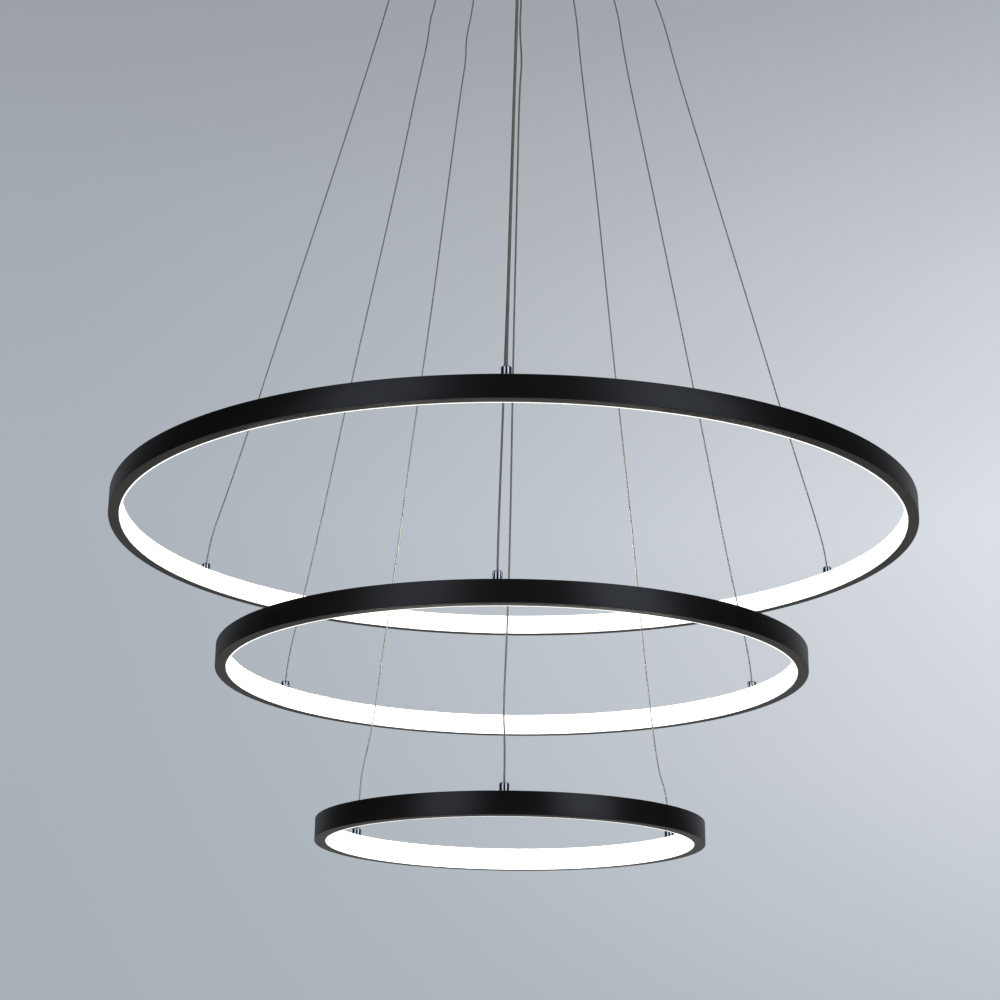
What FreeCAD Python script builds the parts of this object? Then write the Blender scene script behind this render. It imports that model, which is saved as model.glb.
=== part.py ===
import FreeCAD, Part
import math
import os
import Sketcher

# A pendant of three level light rings that share one vertical axis. The widest ring
# hangs highest. Each ring is held by three wires, a third of a turn apart, that lean
# in to one round canopy on the ceiling. Lengths are in mm and angles in degrees.
# The origin is the middle of the canopy's rim, in the plane of the ceiling, +Z is up,
# and -Y is the side that the pendant is seen from.

SIZES = [
    # the three rings: outside radius, and how far the lowest edge is below the ceiling
    ("large_radius", 400.0),
    ("medium_radius", 289.0),
    ("small_radius", 186.5),
    ("large_drop", 790.0),
    ("medium_step", 143.0),
    ("small_step", 163.0),
    # how far each ring has turned on its wires
    ("large_twist", 0.3),
    ("medium_twist", 1.9),
    ("small_twist", 1.0),
    # the ring's channel, which is open towards the axis
    ("ring_height", 21.0),
    ("ring_depth", 10.5),
    ("ring_wall", 1.5),
    ("rib_inset", 8.5),
    ("rib_width", 0.6),
    ("rib_height", 1.0),
    # the opal diffuser, which covers the channel's lips and clips in with two legs
    ("diffuser_edge", 1.2),
    ("diffuser_bulge", 1.8),
    ("leg_width", 1.4),
    ("fit_gap", 0.3),
    # the light strip on the channel's outer wall
    ("strip_width", 10.0),
    ("strip_thickness", 1.0),
    ("chip_length", 3.5),
    ("chip_width", 2.8),
    ("chip_height", 0.8),
    ("large_chip_count", 72.0),
    ("medium_chip_count", 54.0),
    ("small_chip_count", 36.0),
    # the bar that joins the channel's two ends
    ("joiner_length", 40.0),
    ("joiner_width", 5.0),
    ("joiner_height", 2.4),
    # the wire fittings on top of each ring
    ("fitting_inset", 5.5),
    ("fitting_radius", 4.5),
    ("fitting_height", 8.0),
    ("fitting_chamfer", 0.6),
    ("socket_depth", 6.0),
    ("stud_radius", 1.5),
    ("stud_spare", 0.6),
    ("nut_flats", 5.5),
    ("nut_height", 2.2),
    # the wires, which stand upright at both ends and lean in between; the front wire of
    # each ring also feeds its light, and is thicker
    ("large_feed_radius", 1.4),
    ("medium_feed_radius", 1.0),
    ("small_feed_radius", 0.9),
    ("side_wire_radius", 0.75),
    ("top_run", 42.0),
    ("bottom_run", 22.0),
    ("outlet_inset", 26.0),
    ("medium_outlet", 100.5),
    ("small_outlet", 51.5),
    # the canopy
    ("canopy_radius", 185.0),
    ("canopy_depth", 38.0),
    ("canopy_wall", 1.2),
    ("canopy_round", 6.0),
    # the wire grippers under the canopy, and their release sleeves
    ("gripper_radius", 5.0),
    ("gripper_length", 12.0),
    ("stem_radius", 3.7),
    ("stem_length", 10.0),
    ("stem_cap", 3.0),
    ("mouth_radius", 2.8),
    ("mouth_length", 1.5),
    ("chamber_radius", 3.3),
    ("chamber_length", 6.0),
    ("sleeve_collar", 2.0),
    ("sleeve_out", 2.5),
    ("gripper_nut_flats", 12.0),
    ("gripper_nut_height", 3.0),
    # the crossbar that is screwed to the ceiling
    ("bar_width", 30.0),
    ("bar_thickness", 2.0),
    ("bar_ear", 14.0),
    ("slot_offset", 60.0),
    ("slot_radius", 2.6),
    ("slot_length", 20.0),
    ("cable_hole_radius", 6.0),
    ("side_screw_radius", 2.0),
    ("side_screw_length", 6.0),
    ("side_screw_head", 4.5),
    ("side_screw_grip", 5.0),
    ("side_screw_drop", 8.0),
    ("earth_offset", 26.0),
    ("earth_radius", 2.0),
    ("earth_head", 3.8),
    ("earth_grip", 2.6),
    ("earth_length", 6.0),
    # the driver in the canopy
    ("driver_length", 148.0),
    ("driver_width", 44.0),
    ("driver_height", 24.0),
    ("driver_wall", 1.8),
    ("driver_lid", 1.8),
    ("driver_setback", 72.0),
    ("tape_thickness", 1.0),
    ("tape_margin", 4.0),
    ("board_thickness", 1.6),
    ("board_lift", 4.0),
    ("board_margin", 1.0),
    ("core_length", 28.0),
    ("core_width", 24.0),
    ("core_height", 12.0),
    ("can_radius", 5.0),
    ("can_height", 13.0),
    # the mains terminal block
    ("block_length", 32.0),
    ("block_width", 17.0),
    ("block_height", 14.0),
    ("block_x", 52.0),
    ("block_y", 58.0),
    ("pole_pitch", 10.0),
    ("pole_radius", 2.1),
    ("pole_depth", 5.0),
    ("pole_screw_radius", 1.7),
    ("pole_screw_length", 4.0),
]

SHEET = "Sizes"


class Size:
    """A length or angle with the sheet expression that gives it."""

    def __init__(self, value, text):
        self.value = float(value)
        self.text = text

    def _join(self, other, sign, value):
        return Size(value, "(" + self.text + sign + as_size(other).text + ")")

    def __add__(self, other):
        return self._join(other, " + ", self.value + as_size(other).value)

    def __sub__(self, other):
        return self._join(other, " - ", self.value - as_size(other).value)

    def __mul__(self, other):
        return self._join(other, " * ", self.value * as_size(other).value)

    def __truediv__(self, other):
        return self._join(other, " / ", self.value / as_size(other).value)

    def __neg__(self):
        return Size(-self.value, "(0 - " + self.text + ")")

    def sin(self):
        return Size(math.sin(math.radians(self.value)), "sin(" + self.text + ")")

    def cos(self):
        return Size(math.cos(math.radians(self.value)), "cos(" + self.text + ")")

    def tan(self):
        return Size(math.tan(math.radians(self.value)), "tan(" + self.text + ")")

    def atan(self):
        angle = math.degrees(math.atan(self.value))
        return Size(angle, "(atan(" + self.text + ") / 1 deg)")

    def sqrt(self):
        return Size(math.sqrt(self.value), "sqrt(" + self.text + ")")


def as_size(value):
    if isinstance(value, Size):
        return value
    return Size(value, repr(float(value)))


def size(alias):
    return Size(VALUES[alias], SHEET + "." + alias)


VALUES = dict(SIZES)
ZERO = Size(0.0, "0")
FRONT, RIGHT, LEFT = -90.0, 30.0, 150.0
SIDES = [("front", FRONT), ("right", RIGHT), ("left", LEFT)]
RINGS = ["large", "medium", "small"]

doc = FreeCAD.newDocument("ring_pendant")
bodies = []


def fill_sheet():
    sheet = doc.addObject("Spreadsheet::Sheet", SHEET)
    for row, (alias, value) in enumerate(SIZES, start=1):
        sheet.set("A" + str(row), alias)
        sheet.set("B" + str(row), str(value))
        sheet.setAlias("B" + str(row), alias)
    doc.recompute()


# ---------------------------------------------------------------- building blocks

def bind(thing, path, amount):
    thing.setExpression(path, as_size(amount).text)


def new_body(label):
    body = doc.addObject("PartDesign::Body", label)
    body.Label = label
    body.AllowCompound = True
    bodies.append(body)
    return body


def place(body, x=ZERO, y=ZERO, z=ZERO, turn=ZERO):
    base = FreeCAD.Vector(as_size(x).value, as_size(y).value, as_size(z).value)
    rotation = FreeCAD.Rotation(FreeCAD.Vector(0, 0, 1), as_size(turn).value)
    body.Placement = FreeCAD.Placement(base, rotation)
    bind(body, "Placement.Base.x", x)
    bind(body, "Placement.Base.y", y)
    bind(body, "Placement.Base.z", z)
    bind(body, "Placement.Rotation.Angle", turn)


def new_sketch(body, name, role="XZ_Plane", lift=None):
    plane = [item for item in body.Origin.OriginFeatures if item.Role == role][0]
    sketch = body.newObject("Sketcher::SketchObject", name)
    sketch.AttachmentSupport = [(plane, "")]
    sketch.MapMode = "FlatFace"
    if lift is not None:
        bind(sketch, "AttachmentOffset.Base.z", lift)
    return sketch


def pin_point(sketch, shape, end, x, y):
    """Fix one end of a shape at x and y, on an axis where that is zero."""
    for kind, amount, axis in (("DistanceX", x, -2), ("DistanceY", y, -1)):
        if amount is ZERO:
            sketch.addConstraint(Sketcher.Constraint("PointOnObject", shape, end, axis))
        else:
            number = sketch.addConstraint(
                Sketcher.Constraint(kind, -1, 1, shape, end, amount.value))
            bind(sketch, "Constraints[" + str(number) + "]", amount)


def arc_through(start, stop, radius, side):
    """An arc from start to stop. side is 1 to turn anticlockwise and -1 clockwise."""
    chord = stop - start
    away = math.sqrt(max(radius ** 2 - chord.Length ** 2 / 4.0, 0.0))
    normal = FreeCAD.Vector(-chord.y, chord.x, 0).normalize()
    centre = (start + stop) * 0.5 + normal * away * side
    first, last = (start, stop) if side > 0 else (stop, start)
    angles = [math.atan2(p.y - centre.y, p.x - centre.x) for p in (first, last)]
    circle = Part.Circle(centre, FreeCAD.Vector(0, 0, 1), radius)
    return Part.ArcOfCircle(circle, angles[0], angles[1])


def outline(sketch, corners, arcs=None):
    """A closed outline. arcs gives (radius, side) for the edge after a corner, and for a
    half circle also the x of its middle."""
    arcs = arcs or {}
    corners = [(as_size(x) if x is not ZERO else ZERO, as_size(y) if y is not ZERO else ZERO)
               for x, y in corners]
    points = [FreeCAD.Vector(x.value, y.value, 0) for x, y in corners]
    count = len(points)
    ends = []
    for i in range(count):
        start, stop = points[i], points[(i + 1) % count]
        if i in arcs:
            radius, side = arcs[i][:2]
            shape = sketch.addGeometry(arc_through(start, stop, radius.value, side))
            ends.append((shape, 1, 2) if side > 0 else (shape, 2, 1))
        else:
            shape = sketch.addGeometry(Part.LineSegment(start, stop))
            ends.append((shape, 1, 2))
    for i in range(count):
        after = ends[(i + 1) % count]
        sketch.addConstraint(
            Sketcher.Constraint("Coincident", ends[i][0], ends[i][2], after[0], after[1]))
    for i in range(count):
        pin_point(sketch, ends[i][0], ends[i][1], corners[i][0], corners[i][1])
    for i, (radius, side, *middle) in arcs.items():
        if middle:
            rule = Sketcher.Constraint("DistanceX", -1, 1, ends[i][0], 3, middle[0].value)
        else:
            rule = Sketcher.Constraint("Radius", ends[i][0], radius.value)
        number = sketch.addConstraint(rule)
        bind(sketch, "Constraints[" + str(number) + "]", middle[0] if middle else radius)


def circle(sketch, x, y, radius):
    x = as_size(x) if x is not ZERO else ZERO
    y = as_size(y) if y is not ZERO else ZERO
    middle = FreeCAD.Vector(x.value, y.value, 0)
    shape = sketch.addGeometry(
        Part.Circle(middle, FreeCAD.Vector(0, 0, 1), radius.value))
    pin_point(sketch, shape, 3, x, y)
    number = sketch.addConstraint(Sketcher.Constraint("Radius", shape, radius.value))
    bind(sketch, "Constraints[" + str(number) + "]", radius)


def box_outline(sketch, x, y, length, width):
    outline(sketch, [(x, y), (x + length, y), (x + length, y + width), (x, y + width)])


def revolve(body, sketch, name, axis="V_Axis", angle=None, midplane=False):
    turned = body.newObject("PartDesign::Revolution", name)
    turned.Profile = sketch
    turned.ReferenceAxis = (sketch, [axis])
    turned.Angle = 360
    if angle is not None:
        turned.Angle = angle.value
        bind(turned, "Angle", angle)
    turned.Midplane = midplane
    return turned


def pad(body, sketch, name, length, downwards=False):
    raised = body.newObject("PartDesign::Pad", name)
    raised.Profile = sketch
    raised.Length = as_size(length).value
    raised.Reversed = downwards
    bind(raised, "Length", length)
    return raised


def pocket(body, sketch, name, length, upwards=False):
    sunk = body.newObject("PartDesign::Pocket", name)
    sunk.Profile = sketch
    sunk.Length = as_size(length).value
    sunk.Reversed = upwards
    bind(sunk, "Length", length)
    return sunk


def around(body, features, name, count, turn_axis="Z_Axis"):
    """Repeat features evenly round the body's own upright axis."""
    axis = [item for item in body.Origin.OriginFeatures if item.Role == turn_axis][0]
    pattern = body.newObject("PartDesign::PolarPattern", name)
    pattern.Originals = features
    pattern.Axis = (axis, [""])
    pattern.Angle = 360
    pattern.Occurrences = int(as_size(count).value)
    if isinstance(count, Size):
        bind(pattern, "Occurrences", count)
    body.Tip = pattern
    return pattern


def hexagon(sketch, x, flats):
    """A hexagon on the X axis with two of its flats facing along X."""
    side = flats / 2.0
    tall = flats * as_size(30.0).tan()
    corner = tall / 2.0
    outline(sketch, [
        (x - side, -corner), (x, -tall), (x + side, -corner),
        (x + side, corner), (x, tall), (x - side, corner)])


# ---------------------------------------------------------------- shared positions

def radius_of(ring):
    return size(ring + "_radius")


def floor_of(ring):
    """The height of a ring's lowest edge."""
    drop = size("large_drop")
    if ring != "large":
        drop = drop + size("medium_step")
    if ring == "small":
        drop = drop + size("small_step")
    return -drop


def front_of(ring):
    """The direction of a ring's front fitting."""
    return as_size(FRONT) - size(ring + "_twist")


def fitting_circle(ring):
    return radius_of(ring) - size("fitting_inset")


def outlet_of(ring):
    """The radius of the circle on which a ring's wires leave the canopy."""
    if ring == "large":
        return size("canopy_radius") - size("outlet_inset")
    return size(ring + "_outlet")


def wire_radius(ring, side):
    return size(ring + "_feed_radius" if side == "front" else "side_wire_radius")


def bore_radius(ring, side):
    return wire_radius(ring, side) + size("fit_gap")


def gripper_floor():
    return -(size("canopy_depth") + size("gripper_length"))


def wire_top():
    """The height of the closed end of a gripper's bore."""
    return -size("canopy_depth") + size("stem_length") - size("stem_cap")


def wire_foot(ring):
    """The height of the floor of a fitting's socket."""
    return floor_of(ring) + size("ring_height") + size("fitting_height") - size("socket_depth")


# ---------------------------------------------------------------- the rings

def ring_channel(ring):
    """A channel rolled to a circle, with a rib inside each lip and three stud holes."""
    body = new_body("ring_channel_" + ring)
    outer = radius_of(ring)
    lip = outer - size("ring_depth")
    web = outer - size("ring_wall")
    rib = outer - size("rib_inset")
    rib_end = rib - size("rib_width")
    low = size("ring_wall")
    high = size("ring_height") - low
    rib_low = low + size("rib_height")
    rib_high = high - size("rib_height")
    section = new_sketch(body, "Section_" + ring)
    outline(section, [
        (lip, ZERO), (outer, ZERO), (outer, size("ring_height")), (lip, size("ring_height")),
        (lip, high), (rib_end, high), (rib_end, rib_high), (rib, rib_high), (rib, high),
        (web, high), (web, low), (rib, low), (rib, rib_low), (rib_end, rib_low),
        (rib_end, low), (lip, low)])
    revolve(body, section, "Channel_" + ring)
    mark = new_sketch(body, "StudHole_" + ring, "XY_Plane", size("ring_height"))
    circle(mark, fitting_circle(ring), ZERO, size("stud_radius") + size("fit_gap"))
    hole = pocket(body, mark, "StudHoles_" + ring, size("ring_wall") * 2.0)
    around(body, [hole], "StudPattern_" + ring, 3)
    place(body, z=floor_of(ring), turn=front_of(ring))


def ring_diffuser(ring):
    """An opal strip that covers the channel's open side and swells towards the axis."""
    body = new_body("ring_diffuser_" + ring)
    lip = radius_of(ring) - size("ring_depth")
    back = lip - size("fit_gap")
    face = back - size("diffuser_edge")
    leg = radius_of(ring) - size("rib_inset") - size("rib_width") - size("fit_gap")
    top = size("ring_height")
    low = size("ring_wall") + size("fit_gap")
    high = top - low
    bulge = size("diffuser_bulge")
    half = top / 2.0
    arc = (half * half + bulge * bulge) / (bulge * 2.0)
    section = new_sketch(body, "Section_" + ring)
    outline(section, [
        (face, ZERO), (back, ZERO), (back, low), (leg, low), (leg, low + size("leg_width")),
        (back, low + size("leg_width")), (back, high - size("leg_width")),
        (leg, high - size("leg_width")), (leg, high), (back, high), (back, top), (face, top)],
        {11: (arc, 1)})
    revolve(body, section, "Diffuser_" + ring)
    place(body, z=floor_of(ring))


def strip_bottom():
    return (size("ring_height") - size("strip_width")) / 2.0


def led_strip(ring):
    """The flexible board that is bonded to the inside of the channel's outer wall."""
    body = new_body("led_strip_" + ring)
    outside = radius_of(ring) - size("ring_wall") - size("fit_gap")
    section = new_sketch(body, "Section_" + ring)
    inside = outside - size("strip_thickness")
    outline(section, [
        (inside, ZERO), (outside, ZERO),
        (outside, size("strip_width")), (inside, size("strip_width"))])
    revolve(body, section, "Strip_" + ring)
    place(body, z=floor_of(ring) + strip_bottom())


def led_chips(ring):
    """The light chips of one strip, as separate blocks at an even pitch."""
    body = new_body("led_chips_" + ring)
    back = (radius_of(ring) - size("ring_wall") - size("fit_gap") * 2.0
            - size("strip_thickness"))
    face = back - size("chip_height")
    mark = new_sketch(body, "Chip_" + ring, "XY_Plane")
    outline(mark, [
        (face, ZERO), (back, ZERO), (back, size("chip_width")), (face, size("chip_width"))])
    chip = pad(body, mark, "ChipPad_" + ring, size("chip_length"))
    around(body, [chip], "ChipPattern_" + ring, size(ring + "_chip_count"))
    middle = (size("ring_height") - size("chip_length")) / 2.0
    place(body, z=floor_of(ring) + middle, turn=as_size(1.0))


def ring_joiner(ring):
    """A curved bar at the back, in the channel's top corner, across the two ends."""
    body = new_body("ring_joiner_" + ring)
    outside = radius_of(ring) - size("ring_wall") - size("fit_gap")
    inside = outside - size("joiner_width")
    section = new_sketch(body, "Section_" + ring)
    outline(section, [
        (inside, ZERO), (outside, ZERO),
        (outside, size("joiner_height")), (inside, size("joiner_height"))])
    span = size("joiner_length") / radius_of(ring) * (180.0 / math.pi)
    revolve(body, section, "Joiner_" + ring, angle=span, midplane=True)
    top = size("ring_height") - size("ring_wall") - size("joiner_height")
    place(body, z=floor_of(ring) + top, turn=as_size(90.0))


def wire_fittings(ring):
    """Three turned caps on the ring, each with a socket for the wire and a stud below."""
    body = new_body("wire_fittings_" + ring)
    radius = size("fitting_radius")
    top = size("fitting_height")
    edge = size("fitting_chamfer")
    mark = new_sketch(body, "Cap_" + ring, "XY_Plane")
    circle(mark, fitting_circle(ring), ZERO, radius)
    cap = pad(body, mark, "CapPad_" + ring, top - edge)
    mark = new_sketch(body, "Shoulder_" + ring, "XY_Plane", top - edge)
    circle(mark, fitting_circle(ring), ZERO, radius - edge)
    shoulder = pad(body, mark, "ShoulderPad_" + ring, edge)
    mark = new_sketch(body, "Stud_" + ring, "XY_Plane")
    circle(mark, fitting_circle(ring), ZERO, size("stud_radius"))
    length = size("ring_wall") + size("nut_height") + size("stud_spare")
    stud = pad(body, mark, "StudPad_" + ring, length, downwards=True)
    mark = new_sketch(body, "Socket_" + ring, "XY_Plane", top)
    circle(mark, fitting_circle(ring), ZERO, bore_radius(ring, "left"))
    socket = pocket(body, mark, "SocketCut_" + ring, size("socket_depth"))
    around(body, [cap, shoulder, stud, socket], "FittingPattern_" + ring, 3)
    mark = new_sketch(body, "FeedSocket_" + ring, "XY_Plane", top)
    circle(mark, fitting_circle(ring), ZERO, bore_radius(ring, "front"))
    pocket(body, mark, "FeedSocketCut_" + ring, size("socket_depth"))
    place(body, z=floor_of(ring) + size("ring_height"), turn=front_of(ring))


def fitting_nuts(ring):
    """The three nuts that hold the fittings from inside the channel."""
    body = new_body("fitting_nuts_" + ring)
    mark = new_sketch(body, "Nut_" + ring, "XY_Plane")
    hexagon(mark, fitting_circle(ring), size("nut_flats"))
    circle(mark, fitting_circle(ring), ZERO, size("stud_radius") + size("fit_gap"))
    nut = pad(body, mark, "NutPad_" + ring, size("nut_height"))
    around(body, [nut], "NutPattern_" + ring, 3)
    top = size("ring_height") - size("ring_wall") - size("nut_height")
    place(body, z=floor_of(ring) + top, turn=front_of(ring))


# ---------------------------------------------------------------- wires and grippers

def suspension_wire(ring, side, direction):
    """One wire: upright in its gripper, leaning in between, upright in its fitting."""
    body = new_body("suspension_wire_" + ring + "_" + side)
    name = ring + "_" + side
    outlet = outlet_of(ring)
    reach = fitting_circle(ring)
    twist = size(ring + "_twist")
    along = reach * twist.cos() - outlet
    across = reach * twist.sin()
    span = (along * along + across * across).sqrt()
    drop = wire_top() - wire_foot(ring)
    upper, lower = size("top_run"), size("bottom_run")
    lean = (span / (drop - upper - lower)).atan()
    half = (lean / 2.0).tan()
    keep = 0.55
    bend = 0.45
    upper_arc = upper * bend / half
    lower_arc = lower * bend / half
    path = new_sketch(body, "Path_" + name)
    head = upper * keep
    shift = lean.sin()
    fall = lean.cos()
    spots = [
        (ZERO, ZERO),
        (ZERO, -head),
        (upper * bend * shift, -(upper + upper * bend * fall)),
        (span - lower * bend * shift, -(drop - lower - lower * bend * fall)),
        (span, -(drop - lower * keep)),
        (span, -drop)]
    points = [FreeCAD.Vector(x.value, z.value, 0) for x, z in spots]
    shapes = [
        Part.LineSegment(points[0], points[1]),
        arc_through(points[1], points[2], upper_arc.value, 1),
        Part.LineSegment(points[2], points[3]),
        arc_through(points[3], points[4], lower_arc.value, -1),
        Part.LineSegment(points[4], points[5])]
    order = [(1, 2), (1, 2), (1, 2), (2, 1), (1, 2)]
    for shape in shapes:
        path.addGeometry(shape)
    for i in range(4):
        path.addConstraint(
            Sketcher.Constraint("Tangent", i, order[i][1], i + 1, order[i + 1][0]))
    pin_point(path, 0, 1, ZERO, ZERO)
    path.addConstraint(Sketcher.Constraint("Vertical", 0))
    path.addConstraint(Sketcher.Constraint("Vertical", 4))
    for shape, kind, amount in (
            (0, "Distance", head), (4, "Distance", lower * keep), (1, "Radius", upper_arc)):
        number = path.addConstraint(Sketcher.Constraint(kind, shape, amount.value))
        bind(path, "Constraints[" + str(number) + "]", amount)
    pin_point(path, 4, 2, span, -drop)
    disc = new_sketch(body, "Disc_" + name, "XY_Plane")
    circle(disc, ZERO, ZERO, wire_radius(ring, side))
    tube = body.newObject("PartDesign::AdditivePipe", "Wire_" + name)
    tube.Profile = disc
    tube.Spine = (path, ["Edge1", "Edge2", "Edge3", "Edge4", "Edge5"])
    turn = as_size(direction) - (across / along).atan()
    place(body,
          x=outlet * as_size(direction).cos(),
          y=outlet * as_size(direction).sin(),
          z=wire_top(), turn=turn)
    length = (head.value + lower.value * keep + (points[3] - points[2]).Length
              + math.radians(lean.value) * (upper_arc.value + lower_arc.value))
    WIRES.append((body, length, wire_radius(ring, side).value, upper_arc.value, lower_arc.value))


def wire_gripper(ring, side, direction):
    """A turned gripper: a stem through the canopy over a chamber for the sleeve."""
    body = new_body("wire_gripper_" + ring + "_" + side)
    bore = bore_radius(ring, side)
    mouth = size("mouth_radius")
    chamber = size("chamber_radius")
    outer = size("gripper_radius")
    stem = size("stem_radius")
    lip = size("mouth_length")
    roof = lip + size("chamber_length")
    shoulder = size("gripper_length")
    top = shoulder + size("stem_length")
    closed = top - size("stem_cap")
    edge = size("fitting_chamfer")
    section = new_sketch(body, "Section_" + ring + "_" + side)
    outline(section, [
        (mouth, ZERO), (outer - edge, ZERO), (outer, edge), (outer, shoulder),
        (stem, shoulder), (stem, top), (ZERO, top), (ZERO, closed), (bore, closed),
        (bore, roof), (chamber, roof), (chamber, lip), (mouth, lip)])
    revolve(body, section, "Gripper_" + ring + "_" + side)
    outlet = outlet_of(ring)
    place(body,
          x=outlet * as_size(direction).cos(),
          y=outlet * as_size(direction).sin(),
          z=gripper_floor())


def release_sleeve(ring, side, direction):
    """The sleeve round the wire that is pushed up to free it."""
    body = new_body("release_sleeve_" + ring + "_" + side)
    bore = bore_radius(ring, side)
    gap = size("fit_gap")
    shank = size("mouth_radius") - gap
    collar = size("chamber_radius") - gap
    neck = size("sleeve_out") + size("mouth_length") + gap
    top = neck + size("sleeve_collar")
    edge = size("fitting_chamfer")
    section = new_sketch(body, "Section_" + ring + "_" + side)
    outline(section, [
        (bore, ZERO), (shank - edge, ZERO), (shank, edge), (shank, neck),
        (collar, neck), (collar, top), (bore, top)])
    revolve(body, section, "Sleeve_" + ring + "_" + side)
    outlet = outlet_of(ring)
    place(body,
          x=outlet * as_size(direction).cos(),
          y=outlet * as_size(direction).sin(),
          z=gripper_floor() - size("sleeve_out"))


def gripper_nuts():
    """The nine nuts on the gripper stems, inside the canopy."""
    body = new_body("gripper_nuts")
    nuts = []
    for ring in RINGS:
        mark = new_sketch(body, "Nut_" + ring, "XY_Plane")
        hexagon(mark, outlet_of(ring), size("gripper_nut_flats"))
        circle(mark, outlet_of(ring), ZERO, size("stem_radius") + size("fit_gap"))
        nuts.append(pad(body, mark, "NutPad_" + ring, size("gripper_nut_height")))
    around(body, nuts, "NutPattern", 3)
    place(body, z=size("canopy_wall") - size("canopy_depth"), turn=as_size(FRONT))


# ---------------------------------------------------------------- canopy and inside

def canopy_cover():
    """A spun pan with a rounded edge, nine outlets and two side screw holes."""
    body = new_body("canopy_cover")
    outer = size("canopy_radius")
    wall = size("canopy_wall")
    bend = size("canopy_round")
    top = size("canopy_depth")
    section = new_sketch(body, "Section")
    outline(section, [
        (ZERO, ZERO), (outer - bend, ZERO), (outer, bend), (outer, top),
        (outer - wall, top), (outer - wall, bend), (outer - bend, wall), (ZERO, wall)],
        {1: (bend, 1), 5: (bend - wall, -1)})
    revolve(body, section, "Pan")
    cuts = []
    for ring in RINGS:
        mark = new_sketch(body, "Outlet_" + ring, "XY_Plane", wall * 2.0)
        circle(mark, outlet_of(ring), ZERO, size("stem_radius") + size("fit_gap"))
        cuts.append(pocket(body, mark, "OutletCut_" + ring, wall * 3.0))
    around(body, cuts, "OutletPattern", 3)
    mark = new_sketch(body, "SideHole", "XZ_Plane")
    circle(mark, ZERO, top - size("side_screw_drop"), size("side_screw_radius") + size("fit_gap"))
    hole = pocket(body, mark, "SideHoleCut", outer * 4.0)
    hole.SideType = "Symmetric"
    body.Tip = hole
    place(body, z=-top, turn=as_size(FRONT))


def half_bar():
    """Half the crossbar's length, so that its ears' corners clear the canopy's wall."""
    inside = size("canopy_radius") - size("canopy_wall")
    half = size("bar_width") / 2.0
    return (inside * inside - half * half).sqrt() - size("fit_gap")


def ceiling_bracket():
    """A flat crossbar with two ears turned down to take the canopy's side screws."""
    body = new_body("ceiling_bracket")
    length = half_bar() * 2.0
    thick = size("bar_thickness")
    ear = size("bar_ear")
    width = size("bar_width")
    section = new_sketch(body, "Section", "XZ_Plane")
    outline(section, [
        (ZERO, ZERO), (thick, ZERO), (thick, ear - thick), (length - thick, ear - thick),
        (length - thick, ZERO), (length, ZERO), (length, ear), (ZERO, ear)])
    bar = pad(body, section, "Bar", width)
    bar.SideType = "Symmetric"
    body.Tip = bar
    slots = new_sketch(body, "Slots", "XY_Plane", ear)
    reach = size("slot_length") / 2.0 - size("slot_radius")
    radius = size("slot_radius")
    for centre in (half_bar() - size("slot_offset"), half_bar() + size("slot_offset")):
        outline(slots, [
            (centre - reach, -radius), (centre + reach, -radius),
            (centre + reach, radius), (centre - reach, radius)],
            {1: (radius, 1, centre + reach), 3: (radius, 1, centre - reach)})
    circle(slots, half_bar(), ZERO, size("cable_hole_radius"))
    circle(slots, half_bar() + size("earth_offset"), ZERO, size("earth_radius") + size("fit_gap"))
    pocket(body, slots, "SlotCut", thick * 2.0)
    ears = new_sketch(body, "EarHoles", "YZ_Plane")
    circle(ears, ZERO, ear - size("side_screw_drop"), size("side_screw_radius") + size("fit_gap"))
    cut = pocket(body, ears, "EarCut", length * 4.0)
    cut.SideType = "Symmetric"
    body.Tip = cut
    place(body, x=-half_bar(), z=-ear)


def canopy_screws():
    """Two knurled screws through the canopy's side into the crossbar's ears."""
    body = new_body("canopy_screws")
    outer = size("canopy_radius")
    tip = outer - size("side_screw_length")
    end = outer + size("side_screw_grip")
    radius = size("side_screw_radius")
    head = size("side_screw_head")
    edge = size("fitting_chamfer")
    section = new_sketch(body, "Section")
    outline(section, [
        (tip, ZERO), (end, ZERO), (end, head - edge), (end - edge, head),
        (outer + size("fit_gap"), head), (outer + size("fit_gap"), radius), (tip, radius)])
    screw = revolve(body, section, "Screw", axis="H_Axis")
    around(body, [screw], "ScrewPair", 2)
    place(body, z=-size("side_screw_drop"))


def earth_screw():
    """The screw for the earth wire, down through the crossbar."""
    body = new_body("earth_screw")
    radius = size("earth_radius")
    head = size("earth_head")
    length = size("earth_length")
    section = new_sketch(body, "Section")
    outline(section, [
        (ZERO, ZERO), (head, ZERO), (head, size("earth_grip")),
        (radius, size("earth_grip")), (radius, length - size("bar_thickness") / 2.0),
        (ZERO, length - size("bar_thickness") / 2.0)])
    revolve(body, section, "Screw")
    place(body, x=size("earth_offset"), z=-(size("bar_thickness") + size("earth_grip")))


def inner_floor():
    return size("canopy_wall") - size("canopy_depth")


def driver_floor():
    return inner_floor() + size("tape_thickness")


def driver_tape():
    """The foam tape that holds the driver to the canopy."""
    body = new_body("driver_tape")
    margin = size("tape_margin")
    mark = new_sketch(body, "Pad", "XY_Plane")
    box_outline(mark, margin, margin, size("driver_length") - margin * 2.0,
                size("driver_width") - margin * 2.0)
    pad(body, mark, "Tape", size("tape_thickness"))
    place(body, x=-size("driver_length") / 2.0,
          y=size("driver_setback") - size("driver_width") / 2.0, z=inner_floor())


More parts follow.
